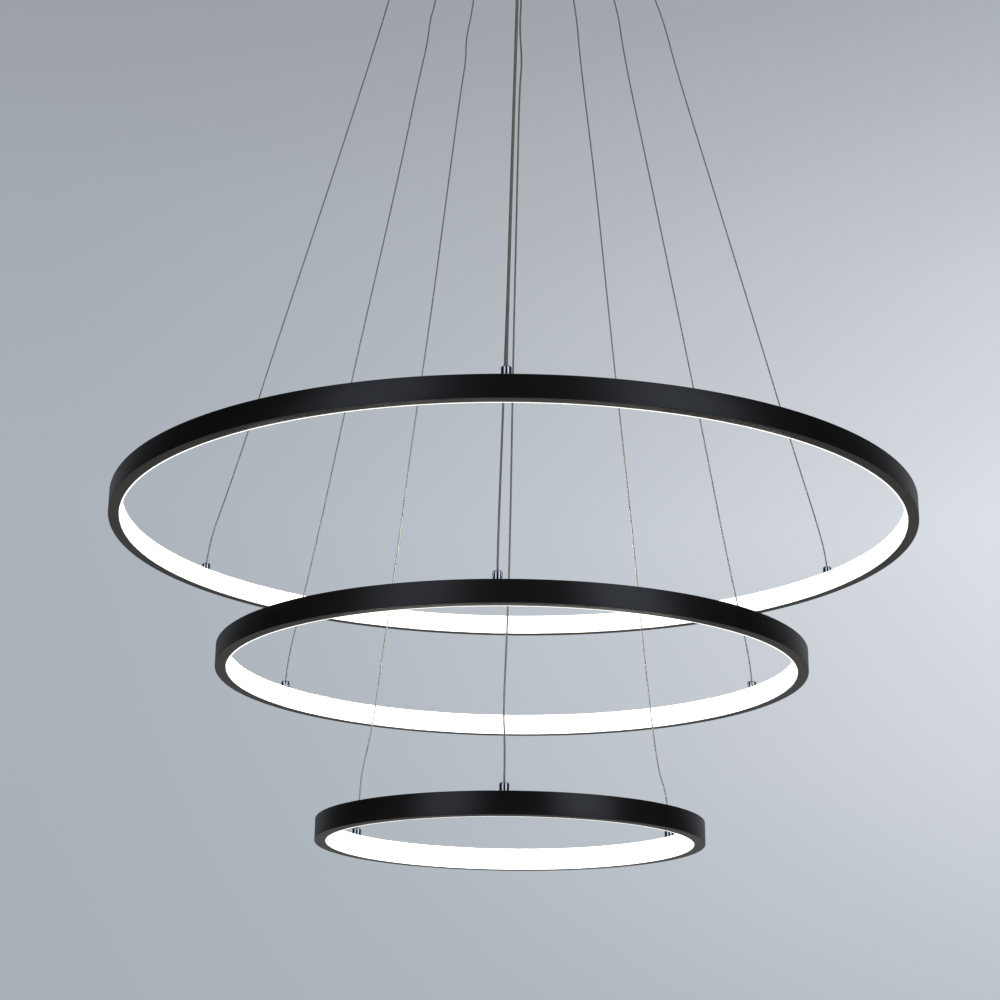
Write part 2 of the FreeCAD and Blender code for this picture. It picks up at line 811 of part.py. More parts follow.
def driver_case():
    """The driver's open box, with a cable slot in each end."""
    body = new_body("driver_case")
    wall = size("driver_wall")
    length = size("driver_length")
    width = size("driver_width")
    mark = new_sketch(body, "Outside", "XY_Plane")
    outline(mark, [(ZERO, ZERO), (length, ZERO), (length, width), (ZERO, width)])
    pad(body, mark, "Box", size("driver_height"))
    mark = new_sketch(body, "Inside", "XY_Plane", size("driver_height"))
    box_outline(mark, wall, wall, length - wall * 2.0, width - wall * 2.0)
    pocket(body, mark, "Hollow", size("driver_height") - wall)
    mark = new_sketch(body, "CableSlot", "YZ_Plane")
    middle = width / 2.0
    high = size("driver_height")
    outline(mark, [
        (middle - 4.0, high - 7.0), (middle + 4.0, high - 7.0),
        (middle + 4.0, high + 1.0), (middle - 4.0, high + 1.0)])
    cut = pocket(body, mark, "SlotCut", length * 4.0)
    cut.SideType = "Symmetric"
    body.Tip = cut
    place(body, x=-length / 2.0, y=size("driver_setback") - width / 2.0, z=driver_floor())


def driver_lid():
    """The flat lid of the driver."""
    body = new_body("driver_lid")
    mark = new_sketch(body, "Outline", "XY_Plane")
    outline(mark, [
        (ZERO, ZERO), (size("driver_length"), ZERO),
        (size("driver_length"), size("driver_width")), (ZERO, size("driver_width"))])
    pad(body, mark, "Lid", size("driver_lid"))
    place(body, x=-size("driver_length") / 2.0,
          y=size("driver_setback") - size("driver_width") / 2.0,
          z=driver_floor() + size("driver_height"))


def driver_board():
    """The driver's circuit board with its transformer and two capacitors."""
    body = new_body("driver_board")
    inset = size("driver_wall") + size("board_margin")
    length = size("driver_length") - inset * 2.0
    width = size("driver_width") - inset * 2.0
    thick = size("board_thickness")
    mark = new_sketch(body, "Board", "XY_Plane")
    outline(mark, [(ZERO, ZERO), (length, ZERO), (length, width), (ZERO, width)])
    pad(body, mark, "BoardPad", thick)
    mark = new_sketch(body, "Core", "XY_Plane", thick)
    box_outline(mark, (length - size("core_length")) / 2.0, (width - size("core_width")) / 2.0,
                size("core_length"), size("core_width"))
    pad(body, mark, "CorePad", size("core_height"))
    mark = new_sketch(body, "Cans", "XY_Plane", thick)
    for share in (0.2, 0.8):
        circle(mark, length * share, width / 2.0, size("can_radius"))
    pad(body, mark, "CanPad", size("can_height"))
    mark = new_sketch(body, "Legs", "XY_Plane")
    for x, y in ((0.05, 0.15), (0.95, 0.15), (0.05, 0.85), (0.95, 0.85)):
        circle(mark, length * x, width * y, size("driver_wall"))
    pad(body, mark, "LegPad", size("board_lift"), downwards=True)
    place(body, x=-length / 2.0, y=size("driver_setback") - width / 2.0,
          z=driver_floor() + size("driver_wall") + size("board_lift"))


def pole_centres():
    middle = size("block_length") / 2.0
    return [middle - size("pole_pitch"), middle, middle + size("pole_pitch")]


def terminal_block():
    """The mains terminal block, with three poles."""
    body = new_body("terminal_block")
    length = size("block_length")
    width = size("block_width")
    height = size("block_height")
    mark = new_sketch(body, "Outside", "XY_Plane")
    outline(mark, [(ZERO, ZERO), (length, ZERO), (length, width), (ZERO, width)])
    pad(body, mark, "Block", height)
    mark = new_sketch(body, "ScrewWells", "XY_Plane", height)
    for x in pole_centres():
        circle(mark, x, width / 2.0, size("pole_radius"))
    pocket(body, mark, "ScrewCut", size("pole_depth"))
    mark = new_sketch(body, "WireHoles", "XZ_Plane")
    for x in pole_centres():
        circle(mark, x, height / 3.0, size("pole_radius") * 0.8)
    cut = pocket(body, mark, "WireCut", width * 4.0)
    cut.SideType = "Symmetric"
    body.Tip = cut
    place(body, x=size("block_x"), y=-size("block_y"), z=inner_floor())


def terminal_screws():
    """The three screws of the terminal block."""
    body = new_body("terminal_screws")
    mark = new_sketch(body, "Screws", "XY_Plane")
    for x in pole_centres():
        circle(mark, x, size("block_width") / 2.0, size("pole_screw_radius"))
    pad(body, mark, "ScrewPad", size("pole_screw_length"))
    place(body, x=size("block_x"), y=-size("block_y"),
          z=inner_floor() + size("block_height") - size("pole_depth"))


# ---------------------------------------------------------------- check and write

def check_everything():
    for thing in doc.Objects:
        if "Invalid" in thing.State or "Error" in thing.State:
            raise RuntimeError(thing.Label + " is " + str(thing.State))
    for body in bodies:
        if body.Shape.isNull() or not body.Shape.isValid() or not body.Shape.Solids:
            raise RuntimeError(body.Label + " has no valid shape")
        for feature in body.Group:
            cuts = feature.TypeId == "PartDesign::Pocket"
            if cuts and feature.BaseFeature.Shape.Volume - feature.Shape.Volume < 0.01:
                raise RuntimeError(feature.Label + " in " + body.Label + " cuts nothing")


def report_wires():
    for body, length, radius, upper, lower in WIRES:
        ideal = math.pi * radius ** 2 * length
        print(body.Label, "length", round(length, 1), "radii", round(upper, 1),
              round(lower, 1), "volume share", round(body.Shape.Volume / ideal, 4))


def write_everything():
    os.makedirs("parts", exist_ok=True)
    for body in bodies:
        body.Shape.exportStep(os.path.join("parts", body.Label + ".step"))


WIRES = []
fill_sheet()
ceiling_bracket()
canopy_cover()
canopy_screws()
earth_screw()
driver_tape()
driver_case()
driver_lid()
driver_board()
terminal_block()
terminal_screws()
gripper_nuts()
for ring_name in RINGS:
    ring_channel(ring_name)
    ring_diffuser(ring_name)
    led_strip(ring_name)
    led_chips(ring_name)
    ring_joiner(ring_name)
    wire_fittings(ring_name)
    fitting_nuts(ring_name)
    for side_name, side_direction in SIDES:
        wire_gripper(ring_name, side_name, side_direction)
        release_sleeve(ring_name, side_name, side_direction)
        suspension_wire(ring_name, side_name, side_direction)
doc.recompute()
check_everything()
report_wires()
write_everything()
print(len(bodies), "nodes,", sum(len(body.Shape.Solids) for body in bodies), "solids")
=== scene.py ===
import math

import bmesh
import bpy
from mathutils import Matrix, Vector


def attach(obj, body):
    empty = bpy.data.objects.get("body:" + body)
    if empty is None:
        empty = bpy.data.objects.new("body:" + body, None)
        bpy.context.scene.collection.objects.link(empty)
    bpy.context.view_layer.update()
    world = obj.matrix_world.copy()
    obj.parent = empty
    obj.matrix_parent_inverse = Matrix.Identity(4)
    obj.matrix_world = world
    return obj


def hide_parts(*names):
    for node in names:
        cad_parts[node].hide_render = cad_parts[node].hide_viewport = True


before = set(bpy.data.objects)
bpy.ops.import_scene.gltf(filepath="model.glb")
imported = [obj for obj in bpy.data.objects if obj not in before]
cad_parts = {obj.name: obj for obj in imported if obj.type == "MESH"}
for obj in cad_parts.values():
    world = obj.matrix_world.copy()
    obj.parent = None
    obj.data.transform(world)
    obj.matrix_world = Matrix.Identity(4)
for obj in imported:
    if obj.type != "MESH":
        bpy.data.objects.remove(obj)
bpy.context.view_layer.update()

# ------------------------------------------------------------------ view of the pendant
# The photograph looks up at the rings from below the lowest one, straight at the front
# wires, through a long lens that leans a little. The canopy stays just above the picture.
view = bpy.data.cameras.new("view")
view.sensor_width = 36.0
view.lens = 72.64
view.clip_start = 0.05
view.clip_end = 60.0
view_holder = bpy.data.objects.new("view", view)
view_holder.location = (0.0229, -1.939, -1.3732)
view_turn = (Matrix.Rotation(math.radians(1.07), 3, "Z")
             @ Matrix.Rotation(math.radians(90.0 + 17.84), 3, "X")
             @ Matrix.Rotation(math.radians(0.7), 3, "Z"))
view_holder.rotation_euler = view_turn.to_euler()
bpy.context.scene.collection.objects.link(view_holder)
bpy.context.scene.camera = view_holder
bpy.context.scene.view_settings.view_transform = "Standard"


# ------------------------------------------------------------------ room and lamps
# A blue-grey studio wall that is lighter on the right, and a pale floor well below the
# lowest ring. What the coated rings and bright fittings mirror is a dark room with a light
# ceiling, and two tall soft windows behind the viewer.
class Signal:
    """One socket of a node, with the arithmetic that adds Math nodes."""

    def __init__(self, finish, socket):
        self.finish = finish
        self.socket = socket

    def maths(self, operation, *others):
        return self.finish.node("ShaderNodeMath", {"operation": operation}, [self, *others])

    def __add__(self, other):
        return self.maths("ADD", other)

    __radd__ = __add__

    def __sub__(self, other):
        return self.maths("SUBTRACT", other)

    def __rsub__(self, other):
        return self.finish.node("ShaderNodeMath", {"operation": "SUBTRACT"}, [other, self])

    def __mul__(self, other):
        return self.maths("MULTIPLY", other)

    __rmul__ = __mul__

    def __truediv__(self, other):
        return self.maths("DIVIDE", other)

    def __pow__(self, other):
        return self.maths("POWER", other)

    def between(self, low, high):
        """0 below low and 1 above high, or the other way round where high is less."""
        return self.finish.node("ShaderNodeMapRange", {"clamp": True}, [self, low, high])

    def out(self, name):
        return Signal(self.finish, self.socket.node.outputs[name])


class Finish:
    """The nodes of a material or of the world."""

    def __init__(self, tree):
        self.tree = tree

    def node(self, kind, settings=None, inputs=None):
        made = self.tree.nodes.new(kind)
        for key, value in (settings or {}).items():
            if key == "stops":
                ramp = made.color_ramp
                for place, colour in value[len(ramp.elements):]:
                    ramp.elements.new(place)
                for stop, (place, colour) in zip(ramp.elements, value):
                    stop.position = place
                    stop.color = (*colour, 1.0)
            else:
                setattr(made, key, value)
        pairs = inputs.items() if isinstance(inputs, dict) else enumerate(inputs or [])
        for key, value in pairs:
            if isinstance(value, Signal):
                self.tree.links.new(value.socket, made.inputs[key])
            elif isinstance(value, tuple) and len(made.inputs[key].default_value) == 4:
                made.inputs[key].default_value = (*value[:3], 1.0)
            else:
                made.inputs[key].default_value = value
        return Signal(self, made.outputs[0]) if len(made.outputs) else made

    def mix(self, share, first, second):
        """Colours first and second, mixed by share."""
        blend = self.node("ShaderNodeMix", {"data_type": "RGBA"}, {0: share, 6: first, 7: second})
        return Signal(self, blend.socket.node.outputs[2])


def seen(red, green, blue):
    """A colour that renders as these 0 to 255 values."""
    shares = [part / 255.0 for part in (red, green, blue)]
    return tuple(s / 12.92 if s < 0.04045 else ((s + 0.055) / 1.055) ** 2.4 for s in shares)


world = bpy.data.worlds.new("studio")
bpy.context.scene.world = world
world.use_nodes = True
world.node_tree.nodes.clear()
air = Finish(world.node_tree)
heading = air.node("ShaderNodeTexCoord").out("Generated")
parts = air.node("ShaderNodeSeparateXYZ", None, [heading])
side, depth, height = parts.out("X"), parts.out("Y"), parts.out("Z")
left_wall = air.node("ShaderNodeValToRGB", {"stops": [
    (0.07, seen(167, 176, 183)), (0.30, seen(171, 178, 186)),
    (0.44, seen(163, 170, 176)), (0.52, seen(154, 159, 165))]}, [height])
right_wall = air.node("ShaderNodeValToRGB", {"stops": [
    (0.07, seen(189, 196, 204)), (0.18, seen(209, 214, 220)), (0.29, seen(220, 225, 231)),
    (0.40, seen(203, 208, 214)), (0.52, seen(170, 175, 181))]}, [height])
wall = air.mix(side.between(-0.25, 0.22) ** 1.5, left_wall, right_wall)
level = ((side * side + depth * depth).maths("SQRT")).maths("MAXIMUM", 0.001)
aside = side / level
ahead = depth / level
wall_share = ahead.between(0.25, 0.8) ** 1.3 * 0.38
ceiling_share = height.between(0.6, 0.95) * 0.8
room = air.mix(wall_share.maths("MAXIMUM", ceiling_share), seen(22, 22, 25), wall)
left_window = (aside * -0.588 + ahead * -0.809).between(0.93, 0.99)
right_window = (aside * 0.695 + ahead * -0.719).between(0.93, 0.99)
window_height = height.between(-0.35, -0.15) * height.between(0.75, 0.55)
windows = (left_window * 0.75 + right_window * 0.95) * window_height
window_light = (1.55, 1.75, 2.15)
mirrored = air.mix(windows, room, window_light)
rays = air.node("ShaderNodeLightPath")
camera_ray, glossy_ray = rays.out("Is Camera Ray"), rays.out("Is Glossy Ray")
shown = air.node("ShaderNodeBackground", None, [air.mix(glossy_ray, wall, mirrored), 1.0])
lighting = air.node("ShaderNodeBackground", None, [(0.93, 0.96, 1.0), 0.55])
plain = (camera_ray + glossy_ray + rays.out("Is Transmission Ray")).maths("MINIMUM", 1.0)
air.node("ShaderNodeOutputWorld", None, [
    air.node("ShaderNodeMixShader", None, [plain, lighting, shown])])


def new_finish(name, **sockets):
    """A new material with one Principled shader, whose plain sockets are set here."""
    material = bpy.data.materials.new(name)
    material.use_nodes = True
    material.node_tree.nodes.clear()
    finish = Finish(material.node_tree)
    finish.material = material
    finish.shader = finish.node("ShaderNodeBsdfPrincipled").socket.node
    finish.node("ShaderNodeOutputMaterial", None, [Signal(finish, finish.shader.outputs[0])])
    for key, value in sockets.items():
        socket = finish.shader.inputs[key.replace("_", " ").title().replace("Ior", "IOR")]
        socket.default_value = (*value, 1.0) if isinstance(value, tuple) else value
    return finish


def feed(finish, **signals):
    """Link signals to the Principled shader's sockets."""
    for key, signal in signals.items():
        finish.tree.links.new(signal.socket, finish.shader.inputs[key.replace("_", " ").title()])


def noise(finish, place, scale, detail=2.0):
    return finish.node("ShaderNodeTexNoise", None, {
        "Vector": place, "Scale": scale, "Detail": detail})


def bump(finish, rise, depth_in_m, strength=1.0):
    return finish.node("ShaderNodeBump", None, {
        "Strength": strength, "Distance": depth_in_m, "Height": rise})


def spot_on(finish):
    return finish.node("ShaderNodeTexCoord").out("Object")


screed = new_finish("floor_screed", roughness=0.9)
feed(screed, base_color=screed.mix(
    noise(screed, spot_on(screed), 3.0, 4.0), seen(180, 176, 170), seen(190, 186, 180)))
floor_radius, floor_height = 9.0, -2.3
floor_shape = bmesh.new()
bmesh.ops.create_circle(floor_shape, cap_ends=True, segments=96, radius=floor_radius)
bmesh.ops.translate(floor_shape, verts=floor_shape.verts, vec=(0.0, 0.0, floor_height))
floor_data = bpy.data.meshes.new("floor")
floor_shape.to_mesh(floor_data)
floor_shape.free()
floor_data.materials.append(screed.material)
floor_piece = bpy.data.objects.new("floor", floor_data)
bpy.context.scene.collection.objects.link(floor_piece)


def lamp(name, place, width, watts):
    """A soft round lamp that faces the rings and isn't mirrored in them."""
    light = bpy.data.lights.new(name, "AREA")
    light.shape = "DISK"
    light.size = width
    light.energy = watts
    holder = bpy.data.objects.new(name, light)
    holder.location = place
    facing = Vector((0.0, 0.0, -0.9)) - Vector(place)
    holder.rotation_euler = facing.to_track_quat("-Z", "Y").to_euler()
    holder.visible_glossy = False
    holder.visible_camera = False
    bpy.context.scene.collection.objects.link(holder)


lamp("key_lamp", place=(2.6, -1.6, 0.6), width=1.8, watts=60.0)
lamp("fill_lamp", place=(-3.0, -1.2, -0.6), width=2.2, watts=30.0)
# low and small, so that its tilted disc stays clear of the floor
lamp("low_lamp", place=(0.0, -0.8, -2.1), width=0.5, watts=9.5)


# ------------------------------------------------------------------ suspension wires
# Nine taut braided steel wires in a thin clear sheath, three to each ring. Each stands
# upright in the canopy's gripper and in the ring's fitting and leans in between, with the
# slight kinks of wire off a coil. The front wires also feed the light and are thicker.
RINGS = {
    "large": {"radius": 0.400, "floor": -0.790, "twist": 0.3, "outlet": 0.1590,
              "feed": 0.0014, "length": 0.7755, "chips": 72},
    "medium": {"radius": 0.289, "floor": -0.933, "twist": 1.9, "outlet": 0.1005,
               "feed": 0.0010, "length": 0.8991, "chips": 54},
    "small": {"radius": 0.1865, "floor": -1.096, "twist": 1.0, "outlet": 0.0515,
              "feed": 0.0009, "length": 1.0505, "chips": 36},
}
DIRECTIONS = {"front": -90.0, "right": 30.0, "left": 150.0}
RING_HEIGHT = 0.021
FITTING_INSET = 0.0055      # from a ring's outside to the middle of its fittings
SIDE_WIRE_RADIUS = 0.00075
WIRE_TOP, WIRE_FOOT = -0.031, RING_HEIGHT + 0.002
TOP_RUN, BOTTOM_RUN = 0.042, 0.022
UP = Vector((0.0, 0.0, 1.0))
# where each wire strays sideways, as (share of the leaning run, mm towards +X)
STRAYS = {
    "large_front": [(0.12, 3.4), (0.38, 2.6), (0.60, 1.7), (0.84, 0.5)],
    "large_right": [(0.10, 6.6), (0.18, 3.2), (0.38, 2.3), (0.65, 0.8), (0.82, -0.6)],
    "large_left": [(0.10, 3.4), (0.38, 3.8), (0.65, 2.1), (0.82, 2.8), (0.92, 1.6)],
    "medium_front": [(0.12, 3.6), (0.40, 3.2), (0.70, 1.6), (0.86, 0.7)],
    "medium_right": [(0.09, 9.6), (0.16, 4.9), (0.35, 4.6), (0.56, 3.0), (0.70, 1.9),
                     (0.85, -0.9)],
    "medium_left": [(0.08, 5.6), (0.108, 3.6), (0.14, 6.4), (0.20, 5.4), (0.34, 6.4),
                    (0.56, 4.0), (0.70, 3.4), (0.85, 3.8)],
    "small_front": [(0.10, 3.6), (0.15, 4.6), (0.185, 3.2), (0.228, 6.4), (0.265, 4.0),
                    (0.40, 3.2), (0.58, 2.0), (0.79, 1.8), (0.88, 0.2), (0.95, -1.8)],
    "small_right": [(0.09, 9.0), (0.16, 6.0), (0.30, 6.3), (0.49, 2.1), (0.60, 0.4),
                    (0.72, -1.6), (0.82, -4.8), (0.91, -5.6), (0.955, -5.2)],
    "small_left": [(0.09, 4.4), (0.13, 1.0), (0.158, 4.4), (0.185, 3.4), (0.30, 3.8),
                   (0.49, 4.8), (0.60, 3.2), (0.72, 4.4), (0.82, 3.6), (0.91, 3.6),
                   (0.96, -1.2)],
}


def at(radius, degrees, height):
    turn = math.radians(degrees)
    return Vector((radius * math.cos(turn), radius * math.sin(turn), height))


def fitting_spot(sizes, direction, height):
    """A place on a fitting's upright axis, at a height above its ring's underside."""
    return at(sizes["radius"] - FITTING_INSET, direction - sizes["twist"],
              sizes["floor"] + height)


def wire_radius(sizes, side_name):
    return sizes["feed"] if side_name == "front" else SIDE_WIRE_RADIUS


def braided_finish(name, metal, dark):
    """Six strands laid round the wire, read from the tube's own UV map in metres, with painted
    shade in the grooves between them.
    """
    finish = new_finish(name, metallic=0.3, roughness=0.4, coat_weight=0.8,
                        coat_roughness=0.12, coat_ior=1.5)
    place = finish.node("ShaderNodeUVMap", {"uv_map": "along"})
    parts = finish.node("ShaderNodeSeparateXYZ", None, [place])
    strand = (parts.out("X") * 640.0 + parts.out("Y") * 6.0).maths("FRACT")
    groove = (strand - 0.5).maths("ABSOLUTE") * 2.0
    thread = (parts.out("X") * -2600.0 + parts.out("Y") * 18.0).maths("FRACT")
    fine = (thread - 0.5).maths("ABSOLUTE") * 2.0
    wear = finish.node("ShaderNodeTexNoise", {"noise_dimensions": "1D"}, {
        "W": parts.out("X"), "Scale": 60.0, "Detail": 3.0})
    # the grooves and fine threads between the strands are painted darker as shade in them; the
    # noise along the wire is random tone
    feed(finish, base_color=finish.mix(groove * 0.6 + wear * 0.3 + fine * 0.15, metal, dark),
         normal=bump(finish, 1.0 - groove - fine * 0.2, 0.0001, 0.6))
    return finish.material


side_braid = braided_finish("steel_braid", seen(132, 134, 127), seen(34, 36, 36))
feed_braid = braided_finish("feed_braid", seen(134, 138, 129), seen(38, 42, 39))


def wire_tube(name, route, radius, material):
    """A tube along the route's own smooth spline, with a UV map that runs in metres."""
    curve = bpy.data.curves.new(name + "_route", "CURVE")
    curve.dimensions = "3D"
    curve.resolution_u = 8
    spline = curve.splines.new("NURBS")
    spline.points.add(len(route) - 1)
    for point, place in zip(spline.points, route):
        point.co = (*place, 1.0)
    spline.order_u = 3
    spline.use_endpoint_u = True
    holder = bpy.data.objects.new(name + "_route", curve)
    line = bpy.data.meshes.new_from_object(holder)
    path = [vertex.co.copy() for vertex in line.vertices]
    bpy.data.meshes.remove(line)
    bpy.data.objects.remove(holder)
    bpy.data.curves.remove(curve)

    shape = bmesh.new()
    turned_share = shape.verts.layers.float.new("turn")
    reach = shape.verts.layers.float.new("reach")
    across = shape.loops.layers.uv.new("along")
    row = bmesh.ops.create_circle(shape, cap_ends=True, segments=12, radius=radius)["verts"]
    for vert in row:
        vert[turned_share] = (math.atan2(vert.co.y, vert.co.x) / (2 * math.pi)) % 1.0
    edges = list(shape.edges)
    facing = Vector((0.0, 0.0, 1.0))
    spot = Vector()
    run = 0.0
    for i, stop in enumerate(path):
        if i:
            run += (stop - spot).length
            grown = bmesh.ops.extrude_edge_only(shape, edges=edges)["geom"]
            row = [item for item in grown if isinstance(item, bmesh.types.BMVert)]
            edges = [item for item in grown if isinstance(item, bmesh.types.BMEdge)
                     and all(vert in row for vert in item.verts)]
        heading = (path[min(i + 1, len(path) - 1)] - path[max(i - 1, 0)]).normalized()
        bmesh.ops.translate(shape, verts=row, vec=stop - spot)
        bmesh.ops.rotate(shape, verts=row, cent=stop,
                         matrix=facing.rotation_difference(heading).to_matrix())
        for vert in row:
            vert[reach] = run
        facing, spot = heading, stop
    bmesh.ops.holes_fill(shape, edges=edges)
    bmesh.ops.recalc_face_normals(shape, faces=shape.faces)
    for face in shape.faces:
        face.smooth = len(face.verts) == 4
        last = max(vert[turned_share] for vert in face.verts)
        for loop in face.loops:
            share = loop.vert[turned_share]
            loop[across].uv = (loop.vert[reach], 1.0 if share < 0.02 and last > 0.7 else share)
    data = bpy.data.meshes.new(name)
    shape.to_mesh(data)
    shape.free()
    data.materials.append(material)
    piece = bpy.data.objects.new(name, data)
    bpy.context.scene.collection.objects.link(piece)
    return piece, path


for ring, sizes in RINGS.items():
    for side_name, direction in DIRECTIONS.items():
        feeds = side_name == "front"
        thick = wire_radius(sizes, side_name)
        top = at(sizes["outlet"], direction, WIRE_TOP)
        low = fitting_spot(sizes, direction, WIRE_FOOT)
        bend, rise = top - UP * TOP_RUN, low + UP * BOTTOM_RUN
        lean = (rise - bend).normalized()
        strayed = [bend.lerp(rise, share) + Vector((stray / 1000.0, 0.0, 0.0))
                   for share, stray in STRAYS[ring + "_" + side_name]]
        # a point near each end keeps it upright there, and one before the last bend holds it
        route = [top, top - UP * 0.024, bend, *strayed, rise - lean * 0.020,
                 low + UP * 0.009, low]
        wire, path = wire_tube("wire_" + ring + "_" + side_name, route, thick,
                               feed_braid if feeds else side_braid)
        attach(wire, "pendant")
        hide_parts("suspension_wire_" + ring + "_" + side_name)
        thick * 2


# ------------------------------------------------------------------ ring channels
# Slim aluminium channels, each rolled to a circle from one length and powder coated matt
# black, 21 mm tall and 10.5 mm deep, open towards the axis. Their two ends meet in a fine
# butt joint at the back.
def mesh_object(name, shape, material, smooth=30.0):
    """The finished piece, at the origin, from a bmesh."""
    data = bpy.data.meshes.new(name)
    shape.to_mesh(data)
    shape.free()
    data.materials.append(material)
    piece = bpy.data.objects.new(name, data)
    bpy.context.scene.collection.objects.link(piece)
    data.shade_smooth()
    data.set_sharp_from_angle(angle=math.radians(smooth))
    return piece


def spun(points, steps, closed=True, centre=(0.0, 0.0, 0.0)):
    """A section of (radius, height) points, spun round the upright line through centre."""
    middle = Vector(centre)
    shape = bmesh.new()
    corners = [shape.verts.new(middle + Vector((radius, 0.0, height)))
               for radius, height in points]
    edges = [shape.edges.new(pair) for pair in zip(corners, corners[1:])]
    if closed:
        edges.append(shape.edges.new((corners[-1], corners[0])))
    bmesh.ops.spin(shape, geom=corners + edges, axis=(0, 0, 1), cent=middle,
                   angle=2 * math.pi, steps=steps, use_merge=True)
    bmesh.ops.remove_doubles(shape, verts=shape.verts, dist=1e-6)
    bmesh.ops.recalc_face_normals(shape, faces=shape.faces)
    return shape


def ease(shape, radius, height, width, segments=2, centre=(0.0, 0.0, 0.0)):
    """Round the circular edge at a radius and a height."""
    middle = Vector(centre)

    def on_it(vert):
        place = vert.co - middle
        return abs(place.z - height) < 2e-5 and abs(place.xy.length - radius) < 2e-5

    chosen = [edge for edge in shape.edges if all(on_it(vert) for vert in edge.verts)]
    bmesh.ops.bevel(shape, geom=chosen, offset=width, offset_type="OFFSET", affect="EDGES",
                    segments=segments, profile=0.5, material=-1)


coating = new_finish("black_powder_coat", ior=1.36)
spot = spot_on(coating)
place = coating.node("ShaderNodeSeparateXYZ", None, [spot])
patches = noise(coating, spot, 9.0, 3.0)
seam = (place.out("X").maths("ABSOLUTE").between(0.00022, 0.00012)
        * place.out("Y").between(0.0, 0.001) * place.out("Z").between(-0.5, -0.6))
feed(coating,
     base_color=coating.mix(seam, coating.mix(patches, seen(10, 9, 9), seen(15, 14, 14)),
                            seen(3, 3, 3)),
     roughness=coating.node("ShaderNodeMapRange", None, [patches, 0.3, 0.7, 0.25, 0.32]),
     normal=bump(coating, noise(coating, spot, 2600.0) - seam * 4.0, 0.00012, 0.14))

RING_DEPTH, RING_STEPS = 0.0105, 288
ring_wall, rib_height = 0.0015, 0.001
facet_cut = 0.00008     # the solid's facets cut a little off the circle; this stays inside
wall_low, wall_high = ring_wall, RING_HEIGHT - ring_wall
rib_low, rib_high = wall_low + rib_height, wall_high - rib_height

for ring, sizes in RINGS.items():
    outer, base = sizes["radius"] - facet_cut, (0.0, 0.0, sizes["floor"])
    lip, web = outer - RING_DEPTH, outer - ring_wall
    rib, rib_end = outer - 0.0085, outer - 0.0091
    shape = spun([
        (lip, 0.0), (outer, 0.0), (outer, RING_HEIGHT), (lip, RING_HEIGHT), (lip, wall_high),
        (rib_end, wall_high), (rib_end, rib_high), (rib, rib_high), (rib, wall_high),
        (web, wall_high), (web, wall_low), (rib, wall_low), (rib, rib_low),
        (rib_end, rib_low), (rib_end, wall_low), (lip, wall_low)], RING_STEPS, centre=base)
    for height in (0.0, RING_HEIGHT):
        ease(shape, outer, height, 0.0005, 3, base)
        ease(shape, lip, height, 0.0002, 1, base)
    channel = mesh_object("channel_" + ring, shape, coating.material)
    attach(channel, "pendant")
    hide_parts("ring_channel_" + ring)


# ------------------------------------------------------------------ opal diffusers
# An opal silicone strip covers the open side of every channel and swells 2 mm towards the
# axis. Two legs clip it behind the ribs in the channel. It is lit evenly from behind, a
# touch less along its edges, and a small lamp on the axis carries its light to the wires.
for ring, watts in (("large", 5.5), ("medium", 2.4), ("small", 1.0)):
    light = bpy.data.lights.new("glow_" + ring, "POINT")
    light.energy = watts
    light.color = (1.0, 0.97, 0.88)
    light.shadow_soft_size = 0.05
    holder = bpy.data.objects.new("glow_" + ring, light)
    holder.location = (0.0, 0.0, RINGS[ring]["floor"] + RING_HEIGHT / 2)
    holder.visible_glossy = False
    holder.visible_camera = False
    bpy.context.scene.collection.objects.link(holder)

for ring, sizes in RINGS.items():
    glow = new_finish("opal_lit_" + ring, roughness=0.4, emission_strength=1.0,
                      base_color=seen(238, 238, 234))
    spot = spot_on(glow)
    place = glow.node("ShaderNodeSeparateXYZ", None, [spot])
    angle = place.out("Y").maths("ARCTAN2", place.out("X"))
    ripple = (angle * float(sizes["chips"])).maths("COSINE") * 0.25 + 0.25
    off_middle = (place.out("Z") - (sizes["floor"] + RING_HEIGHT / 2)).maths("ABSOLUTE")
    edge = off_middle.between(0.0075, RING_HEIGHT / 2) * 0.5
    seam = (place.out("X").maths("ABSOLUTE").between(0.0004, 0.0002)
            * place.out("Y").between(0.0, 0.001))
    dimmer = (ripple + edge + seam + noise(glow, spot, 40.0) * 0.2).maths("MINIMUM", 1.0)
    feed(glow, emission_color=glow.mix(dimmer, seen(255, 252, 246), seen(228, 223, 212)))

    lip = sizes["radius"] - RING_DEPTH
    back, face = lip - 0.0003, lip - 0.0015
    leg, leg_low, leg_high = sizes["radius"] - 0.0094, 0.0018, 0.0032
    base = (0.0, 0.0, sizes["floor"])
    bulge, half = 0.0018, RING_HEIGHT / 2
    bow = (half * half + bulge * bulge) / (2 * bulge)
    sweep = math.asin(half / bow)
    swell = [(face + bow - bulge - bow * math.cos(sweep * k / 8),
              half + bow * math.sin(sweep * k / 8)) for k in range(7, -8, -1)]
    shape = spun([
        (face, 0.0), (back, 0.0), (back, leg_low), (leg, leg_low), (leg, leg_high),
        (back, leg_high), (back, RING_HEIGHT - leg_high), (leg, RING_HEIGHT - leg_high),
        (leg, RING_HEIGHT - leg_low), (back, RING_HEIGHT - leg_low), (back, RING_HEIGHT),
        (face, RING_HEIGHT), *swell], RING_STEPS, centre=base)
    strip = mesh_object("diffuser_" + ring, shape, glow.material, smooth=40.0)
    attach(strip, "pendant")
    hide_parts("ring_diffuser_" + ring)


# ------------------------------------------------------------------ light strips and chips
# A white flexible board with copper pads is bonded to the wall of each channel, and its
# chips, yellow under clear resin, sit on it at an even pitch.
def dress(node_name, finish):
    """Give a carried-over node its finish."""
    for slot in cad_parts[node_name].material_slots:
        slot.material = finish.material


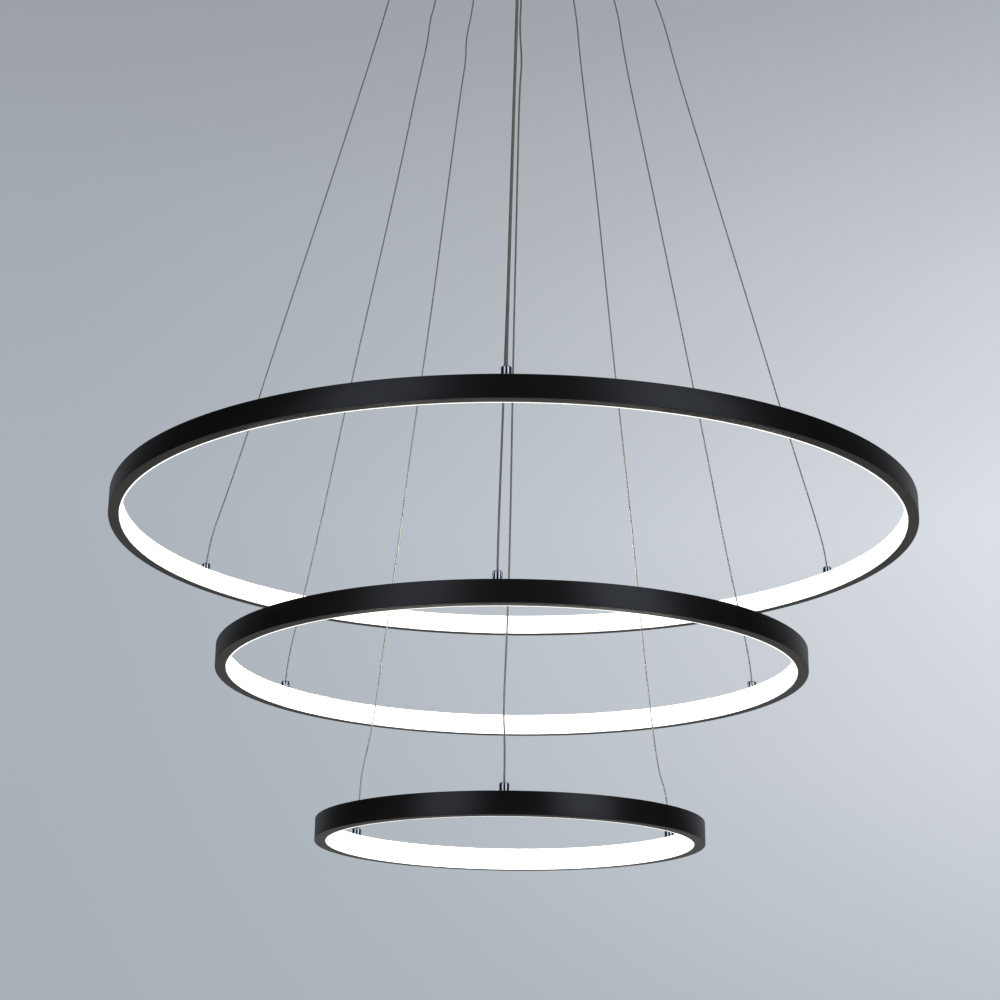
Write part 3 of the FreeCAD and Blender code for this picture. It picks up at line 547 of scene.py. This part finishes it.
for ring, sizes in RINGS.items():
    board = new_finish("strip_board_" + ring, roughness=0.45)
    spot = spot_on(board)
    place = board.node("ShaderNodeSeparateXYZ", None, [spot])
    turn = place.out("Y").maths("ARCTAN2", place.out("X")) * (sizes["chips"] / (2 * math.pi))
    off_middle = (place.out("Z") - (sizes["floor"] + RING_HEIGHT / 2)).maths("ABSOLUTE")
    pad = ((turn.maths("FRACT") - 0.5).maths("ABSOLUTE").between(0.10, 0.08)
           * off_middle.between(0.003, 0.0026))
    feed(board, base_color=board.mix(
        pad, board.mix(noise(board, spot, 300.0), seen(232, 232, 226), seen(220, 221, 216)),
        seen(196, 128, 78)), normal=bump(board, noise(board, spot, 900.0) + pad, 0.0001, 0.3))
    dress("led_strip_" + ring, board)

phosphor = new_finish("chip_phosphor", roughness=0.2, coat_weight=0.5, coat_roughness=0.05)
spot = spot_on(phosphor)
feed(phosphor, base_color=phosphor.mix(noise(phosphor, spot, 700.0), seen(244, 222, 120),
                                       seen(232, 200, 84)),
     normal=bump(phosphor, noise(phosphor, spot, 1500.0), 0.00005, 0.3))
for ring in RINGS:
    dress("led_chips_" + ring, phosphor)


# ------------------------------------------------------------------ ring joiners
# A curved bar of raw aluminium lies across the butt joint inside each channel, with the
# long fine lines of drawn stock.
drawn = new_finish("drawn_aluminium", metallic=1.0)
spot = spot_on(drawn)
lines = noise(drawn, drawn.node("ShaderNodeMapping", None, {
    "Vector": spot, "Scale": (20.0, 900.0, 2400.0)}), 1.0, 3.0)
feed(drawn, base_color=drawn.mix(lines, seen(188, 190, 192), seen(214, 216, 218)),
     roughness=lines.between(0.2, 0.9) * 0.2 + 0.32, normal=bump(drawn, lines, 0.00005, 0.4))
for ring in RINGS:
    dress("ring_joiner_" + ring, drawn)


# ------------------------------------------------------------------ wire fittings
# Three turned and chromed caps stand on each ring, with a round shoulder, a fine groove
# near the foot and a socket that takes the wire. A threaded stud goes down into the channel,
# where a zinc-plated nut holds it.
chrome = new_finish("polished_chrome", metallic=1.0)
spot = spot_on(chrome)
place = chrome.node("ShaderNodeSeparateXYZ", None, [spot])
turning = chrome.node("ShaderNodeTexNoise", {"noise_dimensions": "1D"}, {
    "W": place.out("Z"), "Scale": 9000.0, "Detail": 2.0})
haze = noise(chrome, spot, 220.0, 3.0)
feed(chrome, base_color=chrome.mix(haze, seen(186, 186, 188), seen(164, 165, 168)),
     roughness=haze.between(0.3, 0.8) * 0.08 + turning * 0.06 + 0.05,
     normal=bump(chrome, turning, 0.00002, 0.12))


def joined(shapes):
    """One bmesh from several."""
    whole = bmesh.new()
    for shape in shapes:
        data = bpy.data.meshes.new("part")
        shape.to_mesh(data)
        shape.free()
        whole.from_mesh(data)
        bpy.data.meshes.remove(data)
    return whole


BORE_GAP = 0.0003
cap_radius, groove_radius, cap_height = 0.0045, 0.0042, 0.008
stud_radius, thread_depth, stud_end = 0.0015, 0.00018, -0.0043
threads = [(stud_radius - thread_depth * (k % 2), -0.0018 - 0.0001 * k) for k in range(25)]

for ring, sizes in RINGS.items():
    caps = []
    for side_name, direction in DIRECTIONS.items():
        bore = wire_radius(sizes, side_name) + BORE_GAP
        foot = fitting_spot(sizes, direction, RING_HEIGHT)
        cap = spun([
            (0.0, 0.002), (bore, 0.002), (bore, cap_height), (cap_radius, cap_height),
            (cap_radius, 0.0017), (groove_radius, 0.0015), (groove_radius, 0.0013),
            (cap_radius, 0.0011), (cap_radius, 0.0), (stud_radius, 0.0), *threads,
            (0.0012, stud_end), (0.0, stud_end)], 48, closed=False, centre=foot)
        ease(cap, cap_radius, cap_height, 0.0013, 5, foot)
        ease(cap, bore, cap_height, 0.0002, 2, foot)
        caps.append(cap)
    fittings = mesh_object("fittings_" + ring, joined(caps), chrome.material, smooth=35.0)
    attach(fittings, "pendant")
    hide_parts("wire_fittings_" + ring)

zinc = new_finish("zinc_plate", metallic=1.0)
spot = spot_on(zinc)
flakes = zinc.node("ShaderNodeTexVoronoi", None, {"Vector": spot, "Scale": 260.0}).out("Color")
tone = zinc.node("ShaderNodeSeparateXYZ", None, [flakes]).out("X")
scuffs = noise(zinc, spot, 60.0, 4.0)
feed(zinc, base_color=zinc.mix(tone * 0.6 + scuffs * 0.4, seen(168, 172, 178),
                               seen(206, 208, 212)),
     roughness=scuffs * 0.2 + tone * 0.08 + 0.24, normal=bump(zinc, scuffs, 0.0001, 0.15))
for ring in RINGS:
    dress("fitting_nuts_" + ring, zinc)


# ------------------------------------------------------------------ canopy
# A spun steel pan, powder coated black like the rings, that hides the crossbar and the
# driver. Its rim meets the ceiling and its face carries the nine grippers.
def refined(node_name, piece_name, finish, smooth=30.0):
    """A merged copy of a node's mesh: its round faces shade smoothly, its level ones flat."""
    shape = bmesh.new()
    shape.from_mesh(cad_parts[node_name].data)
    bmesh.ops.remove_doubles(shape, verts=shape.verts, dist=1e-6)
    piece = mesh_object(piece_name, shape, finish.material, smooth)
    while len(piece.data.materials) > 1:
        piece.data.materials.pop(index=1)
    for face in piece.data.polygons:
        face.material_index = 0
        face.use_smooth = abs(face.normal.z) < 0.9999
    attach(piece, "pendant")
    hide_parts(node_name)
    return piece


canopy = refined("canopy_cover", "canopy_pan", coating, 35.0)


# ------------------------------------------------------------------ canopy screws
# Two chromed steel thumb screws go through the canopy's side, one at each end of the
# crossbar, into its ears. Their heads are turned, hollowed a little and knurled.
head_radius, shank_radius, knurl_steps = 0.0045, 0.0020, 56
screw_height = -0.008
screws = []
for turn in (90.0, -90.0):
    screw = spun([
        (0.0, 0.179), (0.0016, 0.179), (shank_radius, 0.1794), (shank_radius, 0.1853),
        (head_radius, 0.1853), (head_radius, 0.1894), (0.0039, 0.1900), (0.0024, 0.1900),
        (0.0020, 0.1896), (0.0, 0.1896)], knurl_steps, closed=False)
    head = [vert for vert in screw.verts if abs(vert.co.xy.length - head_radius) < 2e-5]
    grooves = [vert for vert in head if round(
        math.atan2(vert.co.y, vert.co.x) / (2 * math.pi) * knurl_steps) % 2]
    bmesh.ops.scale(screw, vec=(0.945, 0.945, 1.0), verts=grooves)
    bmesh.ops.rotate(screw, verts=screw.verts, cent=(0, 0, 0),
                     matrix=Matrix.Rotation(math.radians(turn), 3, "Y"))
    bmesh.ops.translate(screw, verts=screw.verts, vec=(0.0, 0.0, screw_height))
    screws.append(screw)
thumb_screws = mesh_object("thumb_screws", joined(screws), chrome.material, smooth=20.0)
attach(thumb_screws, "pendant")
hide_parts("canopy_screws")


# ------------------------------------------------------------------ wire grippers
# Nine turned and chromed grippers hang from the canopy's face. Their stems pass through it
# into hexagon nuts. A spring sleeve in each lets its wire go when it is pushed up.
gripper_foot = -0.050
body_radius, body_top, band_radius = 0.0050, 0.012, 0.0047
stem_radius, stem_top = 0.0037, 0.022
chamber_radius, chamber_top, mouth_radius, mouth_top = 0.0033, 0.0075, 0.0028, 0.0015
sleeve_radius, collar_radius, sleeve_drop = 0.0025, 0.0030, 0.0025
collar_low, collar_top = 0.0043, 0.0063

for ring, sizes in RINGS.items():
    for side_name, direction in DIRECTIONS.items():
        bore = wire_radius(sizes, side_name) + BORE_GAP
        foot = at(sizes["outlet"], direction, gripper_foot)
        shape = spun([
            (0.0, 0.019), (bore, 0.019), (bore, chamber_top), (chamber_radius, chamber_top),
            (chamber_radius, mouth_top), (mouth_radius, mouth_top), (mouth_radius, 0.0),
            (body_radius, 0.0), (body_radius, 0.0028), (band_radius, 0.0030),
            (band_radius, 0.0033), (body_radius, 0.0035), (body_radius, body_top),
            (stem_radius, body_top), (stem_radius, stem_top), (0.0, stem_top)],
            48, closed=False, centre=foot)
        ease(shape, body_radius, 0.0, 0.0008, 4, foot)
        ease(shape, body_radius, body_top, 0.0003, 2, foot)
        ease(shape, stem_radius, stem_top, 0.0004, 2, foot)
        name = ring + "_" + side_name
        gripper = mesh_object("gripper_" + name, shape, chrome.material, smooth=35.0)
        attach(gripper, "pendant")
        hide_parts("wire_gripper_" + name)

        low = foot - UP * sleeve_drop
        shape = spun([
            (bore, 0.0), (sleeve_radius, 0.0), (sleeve_radius, collar_low),
            (collar_radius, collar_low), (collar_radius, collar_top), (bore, collar_top)],
            40, centre=low)
        ease(shape, sleeve_radius, 0.0, 0.0005, 3, low)
        ease(shape, bore, 0.0, 0.00015, 1, low)
        sleeve = mesh_object("sleeve_" + name, shape, chrome.material, smooth=35.0)
        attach(sleeve, "sleeve_" + name)
        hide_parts("release_sleeve_" + name)

nuts = refined("gripper_nuts", "gripper_nut_set", zinc)


# ------------------------------------------------------------------ crossbar
# A pressed strip of zinc-plated steel screwed to the ceiling through its two slots. Its
# ears take the thumb screws, and a brass screw near the middle takes the earth lead.
bracket = refined("ceiling_bracket", "crossbar", zinc)

brass = new_finish("turned_brass", metallic=1.0)
spot = spot_on(brass)
tarnish = noise(brass, spot, 420.0, 4.0)
feed(brass, base_color=brass.mix(tarnish, seen(206, 172, 98), seen(168, 132, 70)),
     roughness=tarnish * 0.25 + 0.2, normal=bump(brass, noise(brass, spot, 2400.0), 0.00005, 0.3))
earth = refined("earth_screw", "earth_terminal", brass)


# ------------------------------------------------------------------ driver
# A white moulded case with a flat lid sits on foam tape in the canopy. Inside is a green
# board with a wound transformer and two capacitors.
moulded = new_finish("white_moulding")
spot = spot_on(moulded)
texture = noise(moulded, spot, 1500.0)
dust = noise(moulded, spot, 25.0, 4.0)
feed(moulded, base_color=moulded.mix(dust, seen(226, 226, 222), seen(214, 214, 208)),
     roughness=dust * 0.2 + 0.36, normal=bump(moulded, texture, 0.0001, 0.35))
case = refined("driver_case", "driver_box", moulded)
lid = refined("driver_lid", "driver_top", moulded)

foam = new_finish("foam_tape", roughness=0.95)
spot = spot_on(foam)
cells = foam.node("ShaderNodeTexVoronoi", None, {"Vector": spot, "Scale": 1400.0})
feed(foam, base_color=foam.mix(cells, seen(150, 150, 148), seen(206, 206, 202)),
     normal=bump(foam, cells, 0.0003, 0.7))
dress("driver_tape", foam)

circuit = new_finish("circuit_board", roughness=0.4)
spot = spot_on(circuit)
place = circuit.node("ShaderNodeSeparateXYZ", None, [spot])
tracks = circuit.node("ShaderNodeTexBrick", None, {
    "Vector": spot, "Scale": 160.0, "Color1": seen(26, 84, 46), "Color2": seen(30, 92, 52),
    "Mortar": seen(58, 128, 76), "Mortar Size": 0.03})
wound = place.out("Z").between(-0.0272, -0.0268)
feed(circuit, base_color=circuit.mix(wound, tracks, circuit.mix(
    noise(circuit, spot, 400.0), seen(34, 34, 38), seen(60, 58, 56))),
    normal=bump(circuit, noise(circuit, spot, 900.0), 0.0001, 0.3))
dress("driver_board", circuit)


# ------------------------------------------------------------------ terminal block
# A block of clear moulded nylon with three brass poles joins the building's cable to the
# driver. A slotted brass screw clamps the wire in each pole.
nylon = new_finish("clear_nylon", subsurface_weight=0.3)
spot = spot_on(nylon)
cloud = noise(nylon, spot, 160.0, 3.0)
feed(nylon, base_color=nylon.mix(cloud, seen(224, 224, 214), seen(204, 205, 196)),
     roughness=cloud * 0.2 + 0.28, normal=bump(nylon, noise(nylon, spot, 900.0), 0.0001, 0.25))
block = refined("terminal_block", "terminal_strip", nylon)

slotted = new_finish("slotted_brass", metallic=1.0, roughness=0.3)
spot = spot_on(slotted)
place = slotted.node("ShaderNodeSeparateXYZ", None, [spot])
pole_pitch, first_pole = 0.010, 0.053
along = ((place.out("X") - first_pole) / pole_pitch).maths("FRACT")
# the slot in each screw head is painted dark brown as shade in it, and the bump cuts it in
slit = (along - 0.5).maths("ABSOLUTE").between(0.035, 0.025)
feed(slotted, base_color=slotted.mix(slit, slotted.mix(
    noise(slotted, spot, 600.0, 3.0), seen(206, 172, 98), seen(180, 144, 78)), seen(52, 42, 26)),
    normal=bump(slotted, 1.0 - slit, 0.0004))
dress("terminal_screws", slotted)
